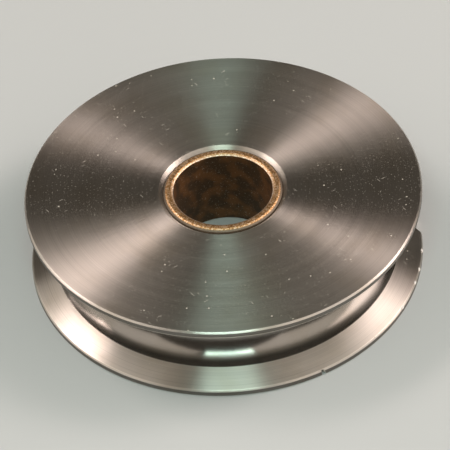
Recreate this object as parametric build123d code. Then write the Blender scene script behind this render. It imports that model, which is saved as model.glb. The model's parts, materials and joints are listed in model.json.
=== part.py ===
from build123d import *
import os

# A wire rope sheave lying flat on one side face: a steel wheel turned with a
# rope groove round its rim, and a plain bronze bushing pressed into its bore.
# Sizes are in millimetres and angles in degrees. The wheel's axis is Z, and
# the origin is on that axis, halfway through the width.

# Wheel
outside_diameter = 127.0
wheel_width = 28.575
rim_land = 2.3  # the flat of each flange's rim, from the side face to the throat
rim_chamfer = 0.55  # where a side face meets the rim
throat_chamfer = 0.4  # where the rim meets the groove

# Rope groove: a round seat for the rope, opened towards the rim by straight
# flanks that stand about 45 degrees apart
rope_diameter = 15.875
seat_clearance = 1.05  # how much larger the seat's radius is than the rope's
seat_reach = 80.0  # how far round the seat goes, each way from its bottom
groove_depth = 15.0  # from the rim to the bottom of the seat

# Bushing, and the wheel's bore that it is pressed into
bore_diameter = 31.75
bushing_wall = 3.175
bushing_mouth_width = 0.9  # the chamfer round each mouth of the bore
bushing_mouth_depth = 0.5
bushing_lead_width = 1.1  # the chamfer that leads the bushing into the wheel
bushing_lead_depth = 0.65
press_clearance = 0.0  # on the radius; the bushing meets the wheel line to line
housing_chamfer = 1.6

# Damage on the lower flange: a piece broken out of its rim, a chip out of its
# outer corner, and dents along the edge where its rim meets the groove
break_start = 0.0  # the angle where the broken piece begins
break_middle = 2.2  # the angle where it reached deepest
break_end = 7.15
break_depth = 2.3
chip_angle = -65.2  # the chip's steep side
chip_bottom = 0.65  # its width where it is deepest
chip_slope = 1.3  # how far its other side slopes away
chip_depth = 1.4  # square to the corner
dent_angles = (-7.2, -14.9, -20.5, -31.0)
dent_radius = 0.6
dent_depth = 0.4

# Sizes that follow from the ones above
outside_radius = outside_diameter / 2
half_width = wheel_width / 2
half_throat = half_width - rim_land
seat_radius = rope_diameter / 2 + seat_clearance
seat_centre = outside_radius - groove_depth + seat_radius
bore_radius = bore_diameter / 2
bushing_radius = bore_radius + bushing_wall
housing_radius = bushing_radius + press_clearance


def wheel_section():
    """The wheel's cross-section on one side of its axis, groove and all."""
    with BuildSketch(Plane.XZ) as section:
        with BuildLine():
            seat = CenterArc((seat_centre, 0), seat_radius, 180 - seat_reach, seat_reach)
            flank = Line(seat @ 0, (outside_radius, half_throat))
            rim = Line(flank @ 1, (outside_radius, half_width))
            side = Line(rim @ 1, (housing_radius + housing_chamfer, half_width))
            mouth = Line(side @ 1, (housing_radius, half_width - housing_chamfer))
            housing = Line(mouth @ 1, (housing_radius, 0))
            Line(housing @ 1, seat @ 1)
        make_face()
        for height, cut in ((half_throat, throat_chamfer), (half_width, rim_chamfer)):
            corner = section.vertices().sort_by_distance((outside_radius, height))[0]
            chamfer(corner, cut)
        mirror(about=Plane.XZ)
    return section.sketch


def on_circle(radius, angle):
    """The point on a circle round the wheel's axis, seen along that axis."""
    return Vector(radius, 0).rotate(Axis.Z, angle)


def rim_break():
    """The piece missing from the lower flange's rim: a wedge, right through its thickness."""
    beyond = outside_radius + break_depth
    with BuildPart() as wedge:
        with BuildSketch(Plane.XY.offset(-half_width)):
            with BuildLine():
                Polyline(
                    on_circle(beyond, break_start),
                    on_circle(outside_radius, break_start),
                    on_circle(outside_radius - break_depth, break_middle),
                    on_circle(outside_radius, break_end),
                    on_circle(beyond, break_end),
                    close=True,
                )
            make_face()
        extrude(amount=half_width)
    return wedge.part


def rim_chip():
    """What broke away from the lower outer corner: a slot with one steep and one sloping side."""
    corner = Plane(origin=(outside_radius, 0, -half_width), x_dir=(-1, 0, 1), z_dir=(1, 0, 1))
    with BuildPart() as slot:
        with BuildSketch(corner):
            with BuildLine():
                Polyline(
                    (-chip_depth, 0),
                    (chip_depth, 0),
                    (chip_depth, -chip_bottom),
                    (0, -chip_bottom - chip_slope),
                    (-chip_depth, -chip_bottom - chip_slope),
                    close=True,
                )
            make_face()
        extrude(amount=2 * chip_depth, both=True)
    return slot.part.rotate(Axis.Z, chip_angle)


def edge_dent(angle):
    """A small round dent in the edge between the lower flange's rim and flank."""
    centre = outside_radius + dent_radius - dent_depth
    dent = Pos(centre, 0, -half_throat) * Sphere(dent_radius)
    return dent.rotate(Axis.Z, angle)


def make_wheel():
    """The steel wheel, one turned piece, with the damage to its lower edge."""
    wheel = revolve(wheel_section(), Axis.Z)
    wheel -= rim_break()
    wheel -= rim_chip()
    for angle in dent_angles:
        wheel -= edge_dent(angle)
    return wheel


def bushing_section():
    """The bushing's wall, as long as the wheel is wide, chamfered at its ends."""
    with BuildSketch(Plane.XZ) as section:
        with BuildLine():
            bore = Line((bore_radius, 0), (bore_radius, half_width - bushing_mouth_depth))
            mouth = Line(bore @ 1, (bore_radius + bushing_mouth_width, half_width))
            end = Line(mouth @ 1, (bushing_radius - bushing_lead_width, half_width))
            lead = Line(end @ 1, (bushing_radius, half_width - bushing_lead_depth))
            outside = Line(lead @ 1, (bushing_radius, 0))
            Line(outside @ 1, bore @ 0)
        make_face()
        mirror(about=Plane.XZ)
    return section.sketch


def make_bushing():
    """The bronze bushing, pressed in flush with both side faces."""
    return revolve(bushing_section(), Axis.Z)


os.makedirs("parts", exist_ok=True)
export_step(make_wheel(), "parts/sheave_wheel.step")
export_step(make_bushing(), "parts/bushing.step")
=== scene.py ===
"""Dresses the wire rope sheave: a turned steel wheel with a bronze bushing in its bore."""

import json
import math

import bmesh
import bpy
from mathutils import Matrix, Vector, noise


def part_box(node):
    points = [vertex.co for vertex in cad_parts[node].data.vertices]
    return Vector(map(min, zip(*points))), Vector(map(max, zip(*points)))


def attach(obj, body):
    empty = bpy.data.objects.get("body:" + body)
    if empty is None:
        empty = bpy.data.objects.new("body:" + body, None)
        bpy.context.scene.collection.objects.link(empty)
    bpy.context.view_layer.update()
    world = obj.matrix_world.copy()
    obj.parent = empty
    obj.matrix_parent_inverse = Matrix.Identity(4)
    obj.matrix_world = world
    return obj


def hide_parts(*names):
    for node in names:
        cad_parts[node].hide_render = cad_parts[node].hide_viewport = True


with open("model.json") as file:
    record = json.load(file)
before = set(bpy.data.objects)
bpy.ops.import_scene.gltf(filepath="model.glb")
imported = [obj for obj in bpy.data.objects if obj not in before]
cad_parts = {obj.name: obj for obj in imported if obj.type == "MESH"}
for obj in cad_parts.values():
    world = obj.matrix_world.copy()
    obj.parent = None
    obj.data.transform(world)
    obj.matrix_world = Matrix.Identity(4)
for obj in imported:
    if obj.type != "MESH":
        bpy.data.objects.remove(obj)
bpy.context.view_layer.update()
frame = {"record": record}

bl_info = {
    "name": "Wire Rope Sheave",
    "version": (1, 0, 0),
    "blender": (4, 5, 0),
    "location": "View3D > Sidebar > Sheave",
    "description": "Turned steel sheave with a bronze bushing, on a pale floor",
    "category": "Add Mesh",
}

MM = 0.001
WHEEL = "sheave_wheel"
BUSHING = "bushing"
# The camera's sensor in millimetres, and how far the camera sees in metres.
SENSOR_WIDTH = 36
CLIP_END = 100

# A turned shape is made of this many equal sectors.
SECTORS = 20
# Vertices closer together than this are welded into one.
WELD = 0.001 * MM
# Where an outline turns by more than this, it has a corner.
SHARP = math.radians(15)
# The most that normals can favour broad faces, as Blender counts it.
FULL_WEIGHT = 100

# Where the lower flange's edge was knocked, in degrees round the axis. The first three knocks
# also pushed a burr up.
DENTS = (-7.2, -14.9, -20.5, -31.0)
BURRED = DENTS[:3]
# A burr's proportions: out from the axis, round it and along it.
BURR_STRETCH = (1.0, 2.0, 0.8)
# How far below the rim a burr's middle lies, as a multiple of its size.
BURR_SUNK = 1.2
# The unevenness of broken metal: how wide its bumps are, and what repeats it in every run.
BUMP_WIDTH = 0.8 * MM
BUMP_SEED = 5
# How often the faces of the break and of the chip are divided.
BREAK_CUTS = 16
CHIP_CUTS = 8

# The values of a noise between which each kind of spot fades in. Pores lie below theirs.
WORN_PATCHES = (0.42, 0.72)
PORES = (0.36, 0.50)
GLINTS = (0.52, 0.62)
SPARKS = (0.64, 0.72)
OIL_BLOTCHES = (0.38, 0.60)

# How much the turning marks vary on their way round the wheel. At 0 each ring is even.
RING_DRIFT = 0.6
# The shine spreads square to the turning marks, which is this part of a turn from them.
ACROSS_MARKS = 0.25
# How soft the edge of a speck or fibre is, as a share of the distance between two of them.
SPECK_EDGE = 0.03
# How the fibres lie, in radians seen from above, and how slim they are.
LINT_DIRECTIONS = (0.5, 2.2)
LINT_SLIMNESS = 0.14


def length(name, description, default):
    """A size in metres that a user can change."""
    return bpy.props.FloatProperty(
        name=name, description=description, default=default, min=0, precision=5, unit="LENGTH"
    )


def place(name, description, default):
    """A coordinate in metres, which may lie below zero."""
    return bpy.props.FloatProperty(
        name=name, description=description, default=default, precision=5, unit="LENGTH"
    )


def angle(name, description, default):
    """An angle, written in degrees and kept in radians."""
    return bpy.props.FloatProperty(
        name=name, description=description, default=math.radians(default), unit="ROTATION"
    )


def share(name, description, default):
    """A number from none to all."""
    return bpy.props.FloatProperty(
        name=name, description=description, default=default, min=0, max=1, subtype="FACTOR"
    )


def amount(name, description, default):
    """A plain number, none or more."""
    return bpy.props.FloatProperty(name=name, description=description, default=default, min=0)


def count(name, description, default):
    """A whole number."""
    return bpy.props.IntProperty(name=name, description=description, default=default, min=1)


def colour(name, description, default):
    """A linear colour."""
    return bpy.props.FloatVectorProperty(
        name=name, description=description, default=default, size=3, min=0, max=1, subtype="COLOR"
    )


def mount_radius(name):
    """The radius of one of the part's bores."""
    mounts = {mount["name"]: mount for mount in frame["record"]["mounts"]}
    return mounts[name]["dims"]["r_mm"] * MM


def on_circle(radius, around, height=0.0):
    """A point at an angle round the axis."""
    return Vector((radius * math.cos(around), radius * math.sin(around), height))


class WheelShape(bpy.types.PropertyGroup):
    """Sizes of the steel wheel."""

    radius: length("Radius", "From the axis to the rim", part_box(WHEEL)[1].x)
    half_width: length("Half width", "From the middle to a side face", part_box(WHEEL)[1].z)
    housing: length("Housing", "Radius of the bore that holds the bushing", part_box(BUSHING)[1].x)
    housing_chamfer: length("Housing chamfer", "Chamfer round each mouth of the bore", 1.6 * MM)
    rim_land: length("Rim land", "From a side face to the groove", 2.3 * MM)
    rim_chamfer: length("Rim chamfer", "Where a side face meets the rim", 0.55 * MM)
    throat_chamfer: length("Throat chamfer", "Where the rim meets the groove", 0.4 * MM)
    groove_depth: length("Groove depth", "From the rim to the bottom of the seat", 15.0 * MM)
    seat_radius: length("Seat radius", "Radius of the round rope seat", 8.9875 * MM)
    seat_reach: angle("Seat reach", "From the seat's bottom to where a flank begins", 80.0)
    edge_break: length("Edge break", "How far the turned corners are rounded", 0.07 * MM)
    edge_steps: count("Edge steps", "Facets across a rounded corner", 2)
    seat_steps: count("Seat steps", "Facets from the seat's bottom to its edge", 36)
    turn_steps: count("Turn steps", "Facets once round the wheel", 600)


class WheelDamage(bpy.types.PropertyGroup):
    """What was broken, chipped and dented on the lower flange."""

    break_start: angle("Break start", "Where the broken piece begins", 0.0)
    break_middle: angle("Break middle", "Where it reached deepest", 2.2)
    break_end: angle("Break end", "Where the broken piece ends", 7.15)
    break_depth: length("Break depth", "From the rim inwards", 2.3 * MM)
    chip_angle: angle("Chip", "The steep side of the chip", -65.2)
    chip_bottom: length("Chip bottom", "Width of the chip where it is deepest", 0.65 * MM)
    chip_slope: length("Chip slope", "How far its other side slopes away", 1.3 * MM)
    chip_depth: length("Chip depth", "Square to the corner", 1.95 * MM)
    dent_radius: length("Dent radius", "Size of the dents in the throat edge", 0.6 * MM)
    dent_depth: length("Dent depth", "How deep those dents are", 0.4 * MM)
    burr: length("Burr", "Size of the metal pushed up beside a dent", 0.22 * MM)
    rough: length("Roughness", "How uneven the broken faces are", 0.12 * MM)


class BushingShape(bpy.types.PropertyGroup):
    """Sizes of the bronze bushing."""

    bore: length("Bore", "Radius of the running bore", mount_radius("bore"))
    radius: length("Radius", "Outside radius, pressed into the wheel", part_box(BUSHING)[1].x)
    half_width: length("Half width", "From the middle to an end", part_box(BUSHING)[1].z)
    mouth_width: length("Mouth width", "Chamfer round the bore, across the end", 0.9 * MM)
    mouth_depth: length("Mouth depth", "Chamfer round the bore, along it", 0.5 * MM)
    lead_width: length("Lead width", "Outer chamfer, across the end", 1.1 * MM)
    lead_depth: length("Lead depth", "Outer chamfer, along the outside", 0.65 * MM)
    edge_break: length("Edge break", "How far the corners are rounded", 0.05 * MM)
    edge_steps: count("Edge steps", "Facets across a rounded corner", 2)
    turn_steps: count("Turn steps", "Facets once round the bushing", 360)


class SteelFinish(bpy.types.PropertyGroup):
    """The look of the turned steel."""

    tint: colour("Steel", "Colour of the bright metal", (0.60, 0.556, 0.505))
    lightness: amount("Lightness", "How light that colour is between the marks", 0.97)
    worn: colour("Worn steel", "Colour of its browner patches", (0.50, 0.44, 0.36))
    wear: share("Wear", "How much of that colour the patches take on", 0.5)
    patch_width: length("Patch width", "Width of the browner patches", 16 * MM)
    ring_width: length("Ring width", "Width of the finest turning marks", 0.22 * MM)
    ring_contrast: amount("Turning marks", "How strongly the rings differ in tone", 0.40)
    seat_calm: share("Calm seat", "How much fainter the rings are in the rope's seat", 0.85)
    band_width: length("Band width", "Width of the broader bands among the rings", 2.4 * MM)
    band_contrast: amount("Bands", "How strongly the bands differ in tone", 0.10)
    scribed_outer: length("Outer scribed ring", "From the rim inwards", 1.9 * MM)
    scribed_inner: length("Inner scribed ring", "From the rim inwards", 3.9 * MM)
    scribed_width: length("Scribed width", "Width of a scribed ring", 0.07 * MM)
    scribed_faint: share("Faint ring", "How strong the outer one is beside the inner one", 0.5)
    scribed_darkness: amount("Scribed darkness", "How much darker the inner one is", 0.35)
    # Painted highlight: the chamfers round the rim and the bore are made lighter in colour.
    painted_edge_highlight: amount("Bright edges", "How much brighter the chamfers are", 0.35)
    # Painted shade: the rim lands, the rope's seat and, more, the seat beside the flanks are made
    # darker in colour.
    land_painted_shade: share("Dull rim lands", "How much darker the rim's flats are", 0.62)
    seat_painted_shade: share("Dull seat", "How much darker the rope's seat is", 0.40)
    crease_painted_shade: share("Dull crease", "How much darker still it is beside the flanks", 0.28)
    crease_start: share("Crease start", "How far up the seat that darker part begins", 0.84)
    crease_end: share("Crease end", "How far up the seat it is at its darkest", 0.96)
    roughness: share("Roughness", "Spread of the shine", 0.31)
    seat_roughness: share("Seat roughness", "Spread of the shine in the rope's seat", 0.15)
    band_roughness: amount("Band roughness", "How much the bands differ in that spread", 0.06)
    mouth_roughness: amount("Mouth roughness", "What the bore's chamfer adds to it", 0.10)
    speck_roughness: amount("Speck roughness", "What dust and torn metal add to it", 0.2)
    along: share("Turned sheen", "How much more the shine spreads across the turning marks", 0.99)
    relief: length("Relief", "The height that one part of the relief stands for", 0.02 * MM)
    relief_strength: share("Relief strength", "How strongly the relief shows", 0.35)
    ring_relief: amount("Ring relief", "Height of the rings, in those parts", 0.5)
    mark_relief: amount("Mark relief", "Height of dust and depth of scribed rings", 2)
    dust: colour("Dust", "Colour of the specks of dust", (0.60, 0.55, 0.47))
    # Painted highlight: the metal round the dents is made pale and less metallic, standing in for
    # the glints of its burrs.
    torn_glint: colour("Torn metal", "Colour of the burrs round the dents", (0.97, 0.94, 0.90))
    torn_dullness: share("Dull torn metal", "How much less metallic it is", 0.8)
    torn_core: length("Torn core", "How far from a dent the metal is torn all over", 0.4 * MM)
    torn_reach: length("Torn reach", "How far from a dent the torn metal ends", 0.9 * MM)


class BronzeFinish(bpy.types.PropertyGroup):
    """The look of the bushing's sintered bronze."""

    tint: colour("Bronze", "Colour of the bronze", (0.60, 0.35, 0.155))
    # Painted highlight: the glints, the band round the mouth and the sparks in the bore take this
    # light colour.
    bright: colour("Bright bronze", "Colour of its glints and of the mouth", (0.95, 0.83, 0.68))
    # The bore takes this colour all over: partly oiled bronze, partly painted shade inside the
    # bore.
    dark: colour("Dark bronze", "Colour of its pores and of the bore", (0.20, 0.088, 0.031))
    oiled: colour("Oiled bronze", "Colour of the blotches of oil", (0.05, 0.035, 0.020))
    # Painted shade: the outer chamfers, in the gap between the bushing and the wheel, take this
    # dim grey colour.
    shaded: colour("Shaded bronze", "Colour of the outer chamfers", (0.17, 0.15, 0.125))
    grain_width: length("Grain width", "Width of the bronze's grains", 0.50 * MM)
    grain_relief: length("Grain relief", "Height of the grains", 0.05 * MM)
    wall_calm: share("Calm bore", "How much flatter the grains are in the bore", 0.75)
    pore_darkness: share("Pores", "How dark the pores are", 0.65)
    mouth_fill: share("Filled mouth", "How much fainter the pores are in the bright mouth", 0.4)
    # The glints, the mouth's shine and the sparks below are painted highlights.
    glint_shine: share("Glints", "How bright the glints are outside the mouth", 0.45)
    mouth_shine: share("Mouth shine", "How bright the mouth is between its glints", 0.35)
    mouth_reach: share("Mouth reach", "How much of the bore's chamfer is bright", 0.55)
    mouth_ragged: length("Ragged mouth", "How far the grains move the mouth's edge", 0.5 * MM)
    spark_shine: share("Sparks", "How bright the few glints in the bore are", 0.2)
    blotch_width: length("Blotch width", "Width of the blotches of oil", 5 * MM)
    oil: share("Oil", "How much the blotches cover", 0.75)
    # How much painted shade the outer chamfers take, and where across them it lies.
    smear: share("Shading", "How much the outer chamfers are smeared over", 0.9)
    shading_start: share("Smear start", "How far in the smear begins, across the chamfer", 0.65)
    shading_end: share("Smear end", "How far in it is at its fullest", 0.4)
    shading_dullness: share("Dull smear", "How many of the glints it hides", 0.8)
    wall_dullness: share("Dull bore", "How much less metallic the bore is", 0.55)
    roughness: share("Roughness", "Spread of the shine", 0.48)
    wall_roughness: amount("Bore roughness", "What the bore adds to that spread", 0.05)
    shading_roughness: amount("Smear roughness", "What the outer chamfers add to it", 0.1)


class StageLook(bpy.types.PropertyGroup):
    """The floor, the lamps and the camera."""

    floor: colour("Floor", "Colour of the floor", (0.56, 0.58, 0.585))
    floor_size: length("Floor size", "Half the floor's side", 4.0)
    floor_roughness: share("Floor roughness", "Spread of the floor's shine", 0.9)
    cloud_width: length("Cloud width", "Width of the floor's uneven patches", 0.25)
    cloud_contrast: amount("Clouds", "How much those patches differ in tone", 0.04)
    ambient: amount("Ambient", "Strength of the dim room", 0.085)
    room: colour("Room", "Colour of the dim room", (1.0, 0.90, 0.76))
    lamp_distance: length("Lamp distance", "From the sheave to every lamp", 1.3)
    right: amount("Right softbox", "Its radiance", 0.86)
    right_side: angle("Right direction", "Seen from above, from the sheave's right", -25.0)
    right_height: angle("Right height", "Above the floor", 43.0)
    right_width: length("Right width", "Along the floor", 2.0)
    right_length: length("Right length", "Up and down", 1.4)
    right_core: amount("Right core", "What its bright middle adds", 1.75)
    right_core_side: angle("Right core direction", "Seen from above", 12.6)
    right_core_height: angle("Right core height", "Above the floor", 39.3)
    right_core_width: length("Right core width", "Along the floor", 0.77)
    right_core_length: length("Right core length", "Up and down", 0.80)
    right_bulb: amount("Right bulb", "What the hottest spot adds", 10.5)
    right_bulb_side: angle("Right bulb direction", "Seen from above", 12.6)
    right_bulb_height: angle("Right bulb height", "Above the floor", 39.3)
    right_bulb_width: length("Right bulb width", "Along the floor", 0.38)
    right_bulb_length: length("Right bulb length", "Up and down", 0.38)
    left: amount("Left softbox", "Its radiance", 0.80)
    left_side: angle("Left direction", "Seen from above, from the sheave's right", 183.0)
    left_height: angle("Left height", "Above the floor", 43.0)
    left_width: length("Left width", "Along the floor", 2.1)
    left_length: length("Left length", "Up and down", 1.3)
    left_core: amount("Left core", "What its bright middle adds", 8.4)
    left_core_side: angle("Left core direction", "Seen from above", 150.4)
    left_core_height: angle("Left core height", "Above the floor", 51.6)
    left_core_width: length("Left core width", "Along the floor", 0.60)
    left_core_length: length("Left core length", "Up and down", 0.27)
    warm: colour("Core colour", "Colour of the bright middles", (1.0, 0.845, 0.80))
    pale: colour("Softbox colour", "Colour of both softboxes", (1.0, 0.93, 0.85))
    top: amount("Top lamp", "Its radiance", 0.75)
    top_side: angle("Top direction", "Seen from above, from the sheave's right", -98.0)
    top_height: angle("Top height", "Above the floor", 80.0)
    top_width: length("Top width", "Along the floor", 0.45)
    top_length: length("Top length", "Up and down", 1.3)
    top_core: amount("Front lamp", "Its radiance", 6.9)
    top_core_side: angle("Front lamp direction", "Seen from above", -94.0)
    top_core_height: angle("Front lamp height", "Above the floor", 55.0)
    top_core_width: length("Front lamp width", "Along the floor", 0.50)
    top_core_length: length("Front lamp length", "Up and down", 0.30)
    cool: colour("Top colour", "Colour of the top lamp", (0.80, 1.0, 0.90))
    cold: colour("Front colour", "Colour of the front lamp", (0.70, 1.0, 0.92))
    camera_height: angle("Camera height", "How far above the horizon the camera stands", 44.378)
    camera_roll: angle("Camera roll", "How far the camera leans", -4.153)
    camera_distance: length("Camera distance", "From the camera to where it looks", 994.4 * MM)
    aim_side: place("Aim sideways", "Where the camera looks, beside the axis", -0.11 * MM)
    aim_height: place("Aim height", "Where the camera looks, above the middle", -1.85 * MM)
    lens: amount("Lens", "Focal length in millimetres", 246.61)


class Wire:
    """A value on its way between nodes. Sums with it add the nodes that work them out."""

    def __init__(self, sheet, socket):
        self.sheet = sheet
        self.socket = socket

    def math(self, operation, *values):
        """The outcome of a Math node on wires and plain numbers."""
        inputs = dict(enumerate(values))
        return self.sheet.node("Math", inputs, operation=operation)

    def __add__(self, other):
        return self.math("ADD", self, other)

    __radd__ = __add__

    def __sub__(self, other):
        return self.math("SUBTRACT", self, other)

    def __rsub__(self, other):
        return self.math("SUBTRACT", other, self)

    def __mul__(self, other):
        return self.math("MULTIPLY", self, other)

    __rmul__ = __mul__

    def __truediv__(self, other):
        return self.math("DIVIDE", self, other)

    def largest(self, other):
        """The larger of this and another."""
        return self.math("MAXIMUM", self, other)

    def least(self, other):
        """The smaller of this and another."""
        return self.math("MINIMUM", self, other)

    def size(self):
        """How far this is from nought."""
        return self.math("ABSOLUTE", self)

    def step(self, low, high):
        """Nought up to low, one from high on, and smooth between."""
        inputs = {"Value": self, "From Min": low, "From Max": high}
        return self.sheet.node("MapRange", inputs, interpolation_type="SMOOTHSTEP")

    def band(self, low, high, soft):
        """One from low to high, with soft edges."""
        return self.step(low - soft, low + soft) * (1 - self.step(high - soft, high + soft))


class Sheet:
    """The nodes of one material."""

    def __init__(self, name):
        self.material = bpy.data.materials.new(name)
        self.material.use_nodes = True
        self.nodes = self.material.node_tree.nodes
        self.links = self.material.node_tree.links
        self.shader = self.nodes["Principled BSDF"]

    def node(self, kind, inputs=None, output=0, **settings):
        """Adds a node, sets it up, joins its inputs and gives the wire from one of its outputs."""
        node = self.nodes.new("ShaderNode" + kind)
        for name, value in settings.items():
            setattr(node, name, value)
        for name, value in (inputs or {}).items():
            self.join(node.inputs[name], value)
        return Wire(self, node.outputs[output])

    def join(self, socket, value):
        """Links a wire to a socket, or sets a plain value on it."""
        if isinstance(value, Wire):
            self.links.new(value.socket, socket)
        else:
            socket.default_value = value

    def finish(self, **inputs):
        """Joins what the surface varies, or keeps the same, to the shader."""
        for name, value in inputs.items():
            self.join(self.shader.inputs[name.replace("_", " ")], value)
        return self.material

    def mix(self, factor, below, above):
        """A colour between two others."""
        inputs = {"Factor": factor, 6: opaque(below), 7: opaque(above)}
        return self.node("Mix", inputs, output=2, data_type="RGBA")

    def scale(self, tint, shade):
        """A colour made darker or lighter."""
        return self.node("VectorMath", {0: tint, "Scale": shade}, operation="SCALE")

    def bump(self, heights, distance, strength):
        """The slopes of a fine relief."""
        inputs = {"Strength": strength, "Distance": distance, "Height": heights}
        return self.node("Bump", inputs, output="Normal")

    def noise(self, point, scale, detail=2, turn=None):
        """Soft noise, about one half on average. A turn is its fourth coordinate."""
        inputs = {"Vector": point, "Scale": scale, "Detail": detail}
        if turn is None:
            return self.node("TexNoise", inputs, noise_dimensions="3D")
        inputs["W"] = turn
        return self.node("TexNoise", inputs, noise_dimensions="4D")

    def point(self):
        """Where each point of the piece is."""
        return self.node("TexCoord", output="Object")

    def coordinate(self, point, axis):
        """One of a point's three coordinates."""
        return self.node("SeparateXYZ", {0: point}, output=axis)

    def radius(self, point):
        """How far a point is from the wheel's axis."""
        flat = self.node("VectorMath", {0: point, 1: (1, 1, 0)}, operation="MULTIPLY")
        return self.node("VectorMath", {0: flat}, output="Value", operation="LENGTH")


def opaque(value):
    """A colour with its alpha, as a mix node takes it."""
    return value if isinstance(value, Wire) else (*value, 1)


def steel(shape, look):
    """Bright turned steel: rings left by the tool, a smoother seat, worn tones and dust, with
    painted shade on the rim lands and in the seat, and painted highlights on the chamfers and
    round the dents.
    """
    sheet = Sheet("turned_steel")
    point = sheet.point()
    radius = sheet.radius(point)
    height = sheet.coordinate(point, "Z")
    level = height.size()

    # How softly one part of the surface gives way to the next.
    soft = 0.05 * MM
    seat_edge = shape.seat_radius * math.sin(shape.seat_reach)
    chamfer_edge = shape.radius - shape.rim_chamfer
    seat = 1 - level.step(seat_edge - soft, seat_edge + soft)
    crease = level.step(look.crease_start * seat_edge, look.crease_end * seat_edge) * seat
    flank = level.band(seat_edge, shape.half_width - shape.rim_land, soft) * (1 - seat)
    # Between its vertices the rim's flat lies a little inside its radius.
    rim = shape.radius - 0.2 * soft
    land = radius.step(shape.radius - soft, rim)
    corner = radius.step(chamfer_edge - soft, chamfer_edge) * (1 - land)
    mouth = radius.band(shape.housing + soft, shape.housing + shape.housing_chamfer, soft)

    rings = turning_marks(sheet, point, radius, height, look.ring_width)
    bands = turning_marks(sheet, point, radius, height, look.band_width)
    scribed = scribed_rings(shape, look, radius) * flank
    specks = dust_specks(sheet, point).largest(lint(sheet, point)) * (1 - seat) * (1 - land)
    torn_glint = torn_glint_patches(shape, look, sheet, point)
    worn = sheet.noise(point, 1 / look.patch_width, detail=3).step(*WORN_PATCHES)

    lines = look.ring_contrast * (rings - 0.5) * (1 - look.seat_calm * seat)
    marks = lines + look.band_contrast * (bands - 0.5) - look.scribed_darkness * scribed
    # Painted shade on the rim lands, in the seat and, more, in its creases.
    painted_shade = look.land_painted_shade * land + look.seat_painted_shade * seat + look.crease_painted_shade * crease
    # The chamfers get a painted highlight.
    shade = look.lightness + marks + look.painted_edge_highlight * mouth.largest(corner) - painted_shade
    tint = sheet.scale(sheet.mix(look.wear * worn, look.tint, look.worn), shade)
    # The pale patches round the dents are a painted highlight of the burrs' glints.
    surface = sheet.mix(torn_glint, sheet.mix(specks, tint, look.dust), look.torn_glint)

    spread = look.roughness + look.band_roughness * (bands - 0.5) + look.mouth_roughness * mouth
    loose = look.speck_roughness * specks.largest(torn_glint)
    smooth = (look.roughness - look.seat_roughness) * seat
    heights = look.ring_relief * rings * (1 - seat) + look.mark_relief * (specks - scribed)
    return sheet.finish(
        Base_Color=surface,
        Metallic=1 - specks.largest(look.torn_dullness * torn_glint),
        Roughness=spread + loose - smooth,
        Anisotropic=look.along,
        Anisotropic_Rotation=ACROSS_MARKS,
        Normal=sheet.bump(heights, look.relief, look.relief_strength),
    )


def turning_marks(sheet, point, radius, height, width):
    """Rings of uneven strength round the axis, on the faces and along the round walls alike."""
    across = RING_DRIFT * sheet.coordinate(point, "X") / radius
    forward = RING_DRIFT * sheet.coordinate(point, "Y") / radius
    ring = sheet.node("CombineXYZ", {"X": radius / width, "Y": height / width, "Z": across})
    return sheet.noise(ring, 1, turn=forward)


def scribed_rings(shape, look, radius):
    """Two fine rings that the tool left in each flank."""
    wide = look.scribed_width
    outer = shape.radius - look.scribed_outer
    inner = shape.radius - look.scribed_inner
    faint = look.scribed_faint * radius.band(outer, outer + wide, wide)
    return radius.band(inner, inner + wide, wide).largest(faint)


def torn_glint_patches(shape, look, sheet, point):
    """Where the lower flange's edge was knocked: the metal round each dent, made pale as a painted
    highlight of its burrs' glints.
    """
    total = 0
    for around in map(math.radians, DENTS):
        dent = on_circle(shape.radius, around, shape.rim_land - shape.half_width)
        away = sheet.node("VectorMath", {0: point, 1: dent}, output="Value", operation="DISTANCE")
        total = total + (1 - away.step(look.torn_core, look.torn_reach))
    return total.least(1)


def scattered(sheet, point, spacing, tiny, largest, strength):
    """Spots of uneven size, one in each cell of a pattern seen from above.

    Tiny is the share of the cells whose spot is hardly there, and largest is the radius of
    the largest spot, in cells.
    """
    spot = {"Vector": point, "Scale": 1 / spacing}
    distance = sheet.node("TexVoronoi", spot, output="Distance", voronoi_dimensions="2D")
    chance = sheet.node("TexVoronoi", spot, output="Color", voronoi_dimensions="2D")
    grain = sheet.node("SeparateColor", {0: chance}, output="Red")
    size = largest * grain.step(tiny, 1.0)
    return strength * (1 - (distance - size).step(0, SPECK_EDGE))


def dust_specks(sheet, point):
    """Specks of dust: many fine faint ones and a few larger."""
    fine = {"spacing": 1.2 * MM, "tiny": 0.30, "largest": 0.10, "strength": 0.35}
    coarse = {"spacing": 6.5 * MM, "tiny": 0.55, "largest": 0.028, "strength": 0.8}
    return scattered(sheet, point, **fine).largest(scattered(sheet, point, **coarse))


def lint(sheet, point):
    """A few short fine fibres, lying in two directions."""
    fibres = {"spacing": 15 * MM, "tiny": 0.80, "largest": 0.040, "strength": 0.45}
    total = 0
    for turned in LINT_DIRECTIONS:
        lie = {"Vector": point, "Rotation": (0, 0, turned), "Scale": (1, LINT_SLIMNESS, 1)}
        along = sheet.node("Mapping", lie, vector_type="TEXTURE")
        total = total + scattered(sheet, along, **fibres)
    return total.least(1)


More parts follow.
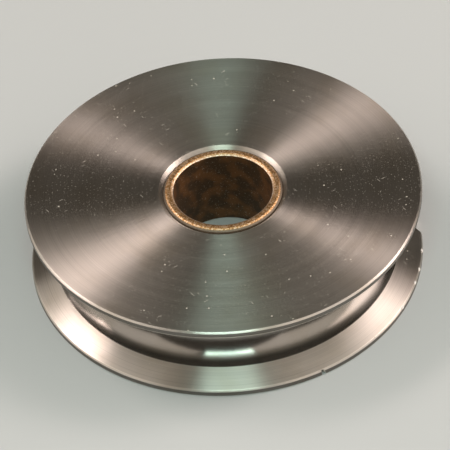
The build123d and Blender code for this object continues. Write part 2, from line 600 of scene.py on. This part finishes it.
def bronze(shape, look):
    """Sintered bronze: granular ends with painted glints, a painted highlight round the mouth, a
    bore of oiled bronze that is partly painted shade, and painted shade on the outer chamfers.
    """
    sheet = Sheet("sintered_bronze")
    point = sheet.point()
    radius = sheet.radius(point)
    grains = sheet.noise(point, 1 / look.grain_width, detail=1)
    blotches = sheet.noise(point, 1 / look.blotch_width)

    # How softly one part gives way to the next, and about what the grains add to the radius
    # of the mouth's edge on average.
    soft = 0.03 * MM
    push = 8 * soft
    brink = shape.bore + look.mouth_reach * shape.mouth_width
    ragged = radius + look.mouth_ragged * grains
    mouth = ragged.band(shape.bore + push, brink + push, 2 * soft)
    # Where the painted shade of the gap lies across the outer chamfer.
    shading_start = shape.radius - look.shading_start * shape.lead_width
    shading_end = shape.radius - look.shading_end * shape.lead_width
    lead = radius.step(shading_start, shading_end)
    wall = 1 - radius.step(shape.bore + soft, shape.bore + 3 * soft)

    pores = 1 - grains.step(*PORES)
    # The whole bore takes the dark colour, which is partly painted shade.
    darkness = (look.pore_darkness * pores * (1 - look.mouth_fill * mouth)).largest(wall)
    # Painted highlights: glints on the ends, a light band round the mouth and a few sparks in the
    # bore.
    glints = grains.step(*GLINTS) * (look.glint_shine + (1 - look.glint_shine) * mouth)
    sparks = look.spark_shine * grains.step(*SPARKS) * wall
    shine = (look.mouth_shine * mouth + glints) * (1 - wall) + sparks
    oil = look.oil * blotches.step(*OIL_BLOTCHES) * wall
    surface = sheet.mix(darkness, look.tint, look.dark)
    surface = sheet.mix(oil, surface, look.oiled)
    # The painted highlights take the light colour, fewer where the outer chamfers have painted
    # shade.
    surface = sheet.mix(shine.least(1) * (1 - look.shading_dullness * lead), surface, look.bright)
    # Painted shade on the outer chamfers.
    surface = sheet.mix(look.smear * lead, surface, look.shaded)
    heights = grains * (1 - look.wall_calm * wall)
    return sheet.finish(
        Base_Color=surface,
        Metallic=1 - look.wall_dullness * wall,
        Roughness=look.roughness + look.wall_roughness * wall + look.shading_roughness * lead,
        Normal=sheet.bump(heights, look.grain_relief, strength=1.0),
    )


def painted_floor(look):
    """A plain pale floor, a little uneven in tone."""
    sheet = Sheet("pale_floor")
    clouds = sheet.noise(sheet.point(), 1 / look.cloud_width)
    tint = sheet.scale(look.floor, 1 + look.cloud_contrast * (clouds - 0.5))
    return sheet.finish(Base_Color=tint, Roughness=look.floor_roughness)


def chain(bm, last, points):
    """Adds a row of vertices joined by edges, starting from one that is there."""
    for point in points:
        vertex = bm.verts.new((point[0], 0, point[1]))
        bm.edges.new((last, vertex))
        last = vertex


def nearest(bm, x, z):
    """The outline's vertex closest to a place in the section."""
    return min(bm.verts, key=lambda vertex: (vertex.co - Vector((x, 0, z))).length)


def cut_corner(bm, x, z, size, steps):
    """Chamfers a corner of the outline, or rounds it where there are more steps."""
    bmesh.ops.bevel(
        bm,
        geom=[nearest(bm, x, z)],
        offset=size,
        offset_type="OFFSET",
        affect="VERTICES",
        segments=steps,
        profile=0.5,
        material=-1,
    )


def mirror_and_fill(bm):
    """Closes a half outline with its mirror image, and fills it."""
    geometry = bm.verts[:] + bm.edges[:]
    bmesh.ops.mirror(bm, geom=geometry, matrix=Matrix(), merge_dist=WELD, axis="Z")
    bmesh.ops.remove_doubles(bm, verts=bm.verts[:], dist=WELD)
    bmesh.ops.contextual_create(bm, geom=bm.edges[:])


def break_edges(bm, corners, size, steps):
    """Rounds the turned corners, each a little."""
    for x, z in corners:
        cut_corner(bm, x, z, size, steps)


def sharp_corners(bm):
    """The corners of the filled outline."""
    found = []
    (outline,) = bm.faces
    for loop in outline.loops:
        before = loop.vert.co - loop.link_loop_prev.vert.co
        after = loop.link_loop_next.vert.co - loop.vert.co
        if before.angle(after) > SHARP:
            found.append((loop.vert.co.x, loop.vert.co.z))
    return found


def turn(bm, steps):
    """Turns the outline once round the axis, as on a lathe: one sector, and then copies of it."""
    bmesh.ops.delete(bm, geom=bm.faces[:], context="FACES_ONLY")
    axis = {"cent": (0, 0, 0), "axis": (0, 0, 1)}
    outline = bm.verts[:] + bm.edges[:]
    sector = math.tau / SECTORS
    bmesh.ops.spin(bm, geom=outline, **axis, angle=sector, steps=steps // SECTORS)
    bmesh.ops.spin(
        bm,
        geom=bm.verts[:] + bm.edges[:] + bm.faces[:],
        **axis,
        angle=math.tau,
        steps=SECTORS,
        use_duplicate=True,
        use_merge=True,
    )
    bmesh.ops.remove_doubles(bm, verts=bm.verts[:], dist=WELD)
    bmesh.ops.recalc_face_normals(bm, faces=bm.faces[:])


def wheel_outline(shape):
    """The wheel's section on one side of the axis, as one filled face."""
    bm = bmesh.new()
    seat_centre = shape.radius - shape.groove_depth + shape.seat_radius
    bottom = bm.verts.new((seat_centre - shape.seat_radius, 0, 0))
    arc = bmesh.ops.spin(
        bm,
        geom=[bottom],
        cent=(seat_centre, 0, 0),
        axis=(0, 1, 0),
        angle=shape.seat_reach,
        steps=shape.seat_steps,
    )
    last = next(item for item in arc["geom_last"] if isinstance(item, bmesh.types.BMVert))
    throat = shape.half_width - shape.rim_land
    mouth = shape.housing + shape.housing_chamfer
    points = (
        (shape.radius, throat),
        (shape.radius, shape.half_width),
        (mouth, shape.half_width),
        (shape.housing, shape.half_width - shape.housing_chamfer),
        (shape.housing, 0),
    )
    chain(bm, last, points)
    mirror_and_fill(bm)
    for side in (1, -1):
        cut_corner(bm, shape.radius, side * throat, shape.throat_chamfer, 1)
        cut_corner(bm, shape.radius, side * shape.half_width, shape.rim_chamfer, 1)
    break_edges(bm, sharp_corners(bm), shape.edge_break, shape.edge_steps)
    return bm


def bushing_outline(shape):
    """The bushing's wall in section, as one filled face."""
    bm = bmesh.new()
    end = shape.half_width
    first = bm.verts.new((shape.bore, 0, 0))
    points = (
        (shape.bore, end - shape.mouth_depth),
        (shape.bore + shape.mouth_width, end),
        (shape.radius - shape.lead_width, end),
        (shape.radius, end - shape.lead_depth),
        (shape.radius, 0),
    )
    chain(bm, first, points)
    mirror_and_fill(bm)
    break_edges(bm, sharp_corners(bm), shape.edge_break, shape.edge_steps)
    return bm


def as_object(name, bm):
    """A scene object made of a finished bmesh, smooth all over."""
    for face in bm.faces:
        face.smooth = True
    mesh = bpy.data.meshes.new(name)
    bm.to_mesh(mesh)
    bm.free()
    piece = bpy.data.objects.new(name, mesh)
    bpy.context.scene.collection.objects.link(piece)
    return piece


def roughen(vertices, size):
    """Makes a broken face uneven, in the same way every time."""
    noise.seed_set(BUMP_SEED)
    for vertex in vertices:
        vertex.co += size * noise.noise_vector(vertex.co / BUMP_WIDTH)


def slab(points, reach, cuts):
    """A prism as long as reach, with walls that are divided finely enough to be uneven."""
    bm = bmesh.new()
    base = bm.faces.new([bm.verts.new(point) for point in points])
    extruded = bmesh.ops.extrude_face_region(bm, geom=[base])["geom"]
    moved = [item for item in extruded if isinstance(item, bmesh.types.BMVert)]
    bmesh.ops.translate(bm, verts=moved, vec=reach)
    bmesh.ops.subdivide_edges(bm, edges=bm.edges[:], cuts=cuts, use_grid_fill=True)
    return bm


def break_cutter(shape, damage):
    """The wedge that was broken out of the lower flange's rim."""
    beyond = shape.radius + damage.break_depth
    # It begins a millimetre below the side face, so that it cuts clean through.
    low = -shape.half_width - MM
    points = [
        on_circle(beyond, damage.break_start, low),
        on_circle(shape.radius, damage.break_start, low),
        on_circle(shape.radius - damage.break_depth, damage.break_middle, low),
        on_circle(shape.radius, damage.break_end, low),
        on_circle(beyond, damage.break_end, low),
    ]
    bm = slab(points, Vector((0, 0, shape.half_width)), BREAK_CUTS)
    roughen(bm.verts, damage.rough)
    return bm


def chip_cutter(shape, damage):
    """The slot that was chipped out of the lower outer corner."""
    depth = damage.chip_depth
    half_length = 2 * depth
    inwards = Vector((-1, 0, 1)).normalized()
    along = Vector((1, 0, 1)).normalized()
    left = Vector((0, -1, 0))
    corner = Vector((shape.radius, 0, -shape.half_width)) - half_length * along
    slope_end = -damage.chip_bottom - damage.chip_slope
    places = (
        (-depth, 0),
        (depth, 0),
        (depth, -damage.chip_bottom),
        (0, slope_end),
        (-depth, slope_end),
    )
    points = [corner + deep * inwards + aside * left for deep, aside in places]
    bm = slab(points, 2 * half_length * along, CHIP_CUTS)
    roughen(bm.verts, damage.rough)
    turned = Matrix.Rotation(damage.chip_angle, 3, "Z")
    bmesh.ops.rotate(bm, verts=bm.verts[:], cent=(0, 0, 0), matrix=turned)
    return bm


def dent_cutter(shape, damage):
    """The knocks in the edge between the lower flange's rim and flank."""
    bm = bmesh.new()
    centre = shape.radius + damage.dent_radius - damage.dent_depth
    for around in map(math.radians, DENTS):
        at = Matrix.Translation(on_circle(centre, around, shape.rim_land - shape.half_width))
        ball = bmesh.ops.create_icosphere(bm, subdivisions=3, radius=damage.dent_radius, matrix=at)
        roughen(ball["verts"], damage.rough)
    return bm


def burr_beads(shape, damage):
    """The metal that some knocks pushed up, on the side away from the break."""
    bm = bmesh.new()
    step = damage.dent_radius / shape.radius
    height = shape.rim_land - shape.half_width
    for around in map(math.radians, BURRED):
        spot = on_circle(shape.radius - BURR_SUNK * damage.burr, around - step, height)
        at = Matrix.Translation(spot) @ Matrix.Rotation(around, 4, "Z")
        size = Matrix.Diagonal((*BURR_STRETCH, 1.0))
        bead = bmesh.ops.create_icosphere(bm, subdivisions=2, radius=damage.burr, matrix=at @ size)
        roughen(bead["verts"], damage.rough)
    return bm


def shape_with(piece, operation, bm):
    """Adds or cuts away a finished bmesh's shape."""
    bmesh.ops.recalc_face_normals(bm, faces=bm.faces[:])
    tool = as_object("tool", bm)
    modifier = piece.modifiers.new("Damage", "BOOLEAN")
    modifier.object = tool
    modifier.operation = operation
    modifier.solver = "MANIFOLD"
    graph = bpy.context.evaluated_depsgraph_get()
    mesh = bpy.data.meshes.new_from_object(piece.evaluated_get(graph))
    piece.modifiers.remove(modifier)
    piece.data = mesh
    bpy.data.objects.remove(tool)


def keep_flats_flat(piece):
    """Lets the broad faces set the normals, so that only the rounded corners look round."""
    weighted = piece.modifiers.new("Normals", "WEIGHTED_NORMAL")
    weighted.weight = FULL_WEIGHT
    weighted.keep_sharp = True


class SheaveWheel(bpy.types.Operator):
    """Turn the steel wheel and give it its damage"""

    bl_idname = "sheave.wheel"
    bl_label = "Steel wheel"
    bl_options = {"REGISTER", "UNDO"}

    def execute(self, context):
        shape = context.scene.sheave_wheel
        damage = context.scene.sheave_damage
        outline = wheel_outline(shape)
        turn(outline, shape.turn_steps)
        wheel = as_object("steel_wheel", outline)
        shape_with(wheel, "UNION", burr_beads(shape, damage))
        shape_with(wheel, "DIFFERENCE", dent_cutter(shape, damage))
        shape_with(wheel, "DIFFERENCE", break_cutter(shape, damage))
        shape_with(wheel, "DIFFERENCE", chip_cutter(shape, damage))
        keep_flats_flat(wheel)
        wheel.data.materials.clear()
        wheel.data.materials.append(steel(shape, context.scene.sheave_steel))
        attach(wheel, "root")
        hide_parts(WHEEL)
        return {"FINISHED"}


class SheaveBushing(bpy.types.Operator):
    """Turn the bronze bushing"""

    bl_idname = "sheave.bushing"
    bl_label = "Bronze bushing"
    bl_options = {"REGISTER", "UNDO"}

    def execute(self, context):
        shape = context.scene.sheave_bushing
        outline = bushing_outline(shape)
        turn(outline, shape.turn_steps)
        bushing = as_object("bronze_bushing", outline)
        keep_flats_flat(bushing)
        bushing.data.materials.append(bronze(shape, context.scene.sheave_bronze))
        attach(bushing, "root")
        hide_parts(BUSHING)
        return {"FINISHED"}


def add_lamp(stage, name, tint):
    """A rectangular lamp that looks at the sheave. Its settings begin with its name."""
    lamp = bpy.data.lights.new(name, "AREA")
    lamp.shape = "RECTANGLE"
    lamp.size = getattr(stage, name + "_width")
    lamp.size_y = getattr(stage, name + "_length")
    lamp.color = tint
    lamp.energy = getattr(stage, name) * math.pi * lamp.size * lamp.size_y
    holder = bpy.data.objects.new(name + "_lamp", lamp)
    side = getattr(stage, name + "_side")
    height = getattr(stage, name + "_height")
    level = stage.lamp_distance * math.cos(height)
    holder.location = on_circle(level, side, stage.lamp_distance * math.sin(height))
    facing = Matrix.Rotation(side + math.pi / 2, 4, "Z")
    tilt = Matrix.Rotation(math.pi / 2 - height, 4, "X")
    holder.rotation_euler = (facing @ tilt).to_euler()
    holder.visible_camera = False
    bpy.context.scene.collection.objects.link(holder)


def add_floor(stage, height):
    """The floor that the sheave lies on."""
    bm = bmesh.new()
    bmesh.ops.create_grid(bm, x_segments=8, y_segments=8, size=stage.floor_size)
    bmesh.ops.translate(bm, verts=bm.verts[:], vec=(0, 0, height))
    floor = as_object("floor", bm)
    floor.data.materials.append(painted_floor(stage))


def add_camera(stage):
    """The camera, where the photograph's stood."""
    data = bpy.data.cameras.new("camera")
    data.sensor_fit = "HORIZONTAL"
    data.sensor_width = SENSOR_WIDTH
    data.lens = stage.lens
    data.clip_end = CLIP_END
    camera = bpy.data.objects.new("camera", data)
    aim = Matrix.Translation((stage.aim_side, 0, stage.aim_height))
    tilt = Matrix.Rotation(math.pi / 2 - stage.camera_height, 4, "X")
    lean = Matrix.Rotation(stage.camera_roll, 4, "Z")
    camera.matrix_world = aim @ tilt @ lean @ Matrix.Translation((0, 0, stage.camera_distance))
    bpy.context.scene.collection.objects.link(camera)
    bpy.context.scene.camera = camera


def add_room(stage):
    """The dim, even room round the stage."""
    world = bpy.data.worlds.new("room")
    world.use_nodes = True
    background = world.node_tree.nodes["Background"]
    background.inputs["Color"].default_value = opaque(stage.room)
    background.inputs["Strength"].default_value = stage.ambient
    bpy.context.scene.world = world


class SheaveStage(bpy.types.Operator):
    """Set up the floor, the lamps and the camera"""

    bl_idname = "sheave.stage"
    bl_label = "Stage"
    bl_options = {"REGISTER", "UNDO"}

    def execute(self, context):
        stage = context.scene.sheave_stage
        add_floor(stage, -context.scene.sheave_wheel.half_width)
        add_room(stage)
        add_camera(stage)
        add_lamp(stage, "right", stage.pale)
        add_lamp(stage, "right_core", stage.warm)
        add_lamp(stage, "right_bulb", stage.warm)
        add_lamp(stage, "left", stage.pale)
        add_lamp(stage, "left_core", stage.warm)
        add_lamp(stage, "top", stage.cool)
        add_lamp(stage, "top_core", stage.cold)
        context.scene.view_settings.view_transform = "Standard"
        return {"FINISHED"}


class SheavePanel(bpy.types.Panel):
    """Lists the steps that build the sheave"""

    bl_idname = "VIEW3D_PT_sheave"
    bl_label = "Wire Rope Sheave"
    bl_space_type = "VIEW_3D"
    bl_region_type = "UI"
    bl_category = "Sheave"

    def draw(self, context):
        for groups, step in STEPS:
            box = self.layout.box()
            box.operator(step.bl_idname)
            for group in groups:
                settings = getattr(context.scene, group)
                for key in settings.bl_rna.properties.keys():
                    if key not in ("rna_type", "name"):
                        box.prop(settings, key)


SETTINGS = {
    "sheave_wheel": WheelShape,
    "sheave_damage": WheelDamage,
    "sheave_bushing": BushingShape,
    "sheave_steel": SteelFinish,
    "sheave_bronze": BronzeFinish,
    "sheave_stage": StageLook,
}
STEPS = (
    (("sheave_wheel", "sheave_damage", "sheave_steel"), SheaveWheel),
    (("sheave_bushing", "sheave_bronze"), SheaveBushing),
    (("sheave_stage",), SheaveStage),
)


def classes():
    """Everything that is registered, settings first."""
    return [*SETTINGS.values(), *(step for _, step in STEPS), SheavePanel]


def register():
    """Makes the operators, the panel and the settings known to Blender."""
    for item in classes():
        bpy.utils.register_class(item)
    for name, group in SETTINGS.items():
        setattr(bpy.types.Scene, name, bpy.props.PointerProperty(type=group))


def unregister():
    """Takes the operators, the panel and the settings out again."""
    for name in SETTINGS:
        delattr(bpy.types.Scene, name)
    for item in reversed(classes()):
        bpy.utils.unregister_class(item)


def main():
    """Builds the sheave and its stage."""
    register()
    bpy.ops.sheave.wheel()
    bpy.ops.sheave.bushing()
    bpy.ops.sheave.stage()


if __name__ == "__main__":
    main()
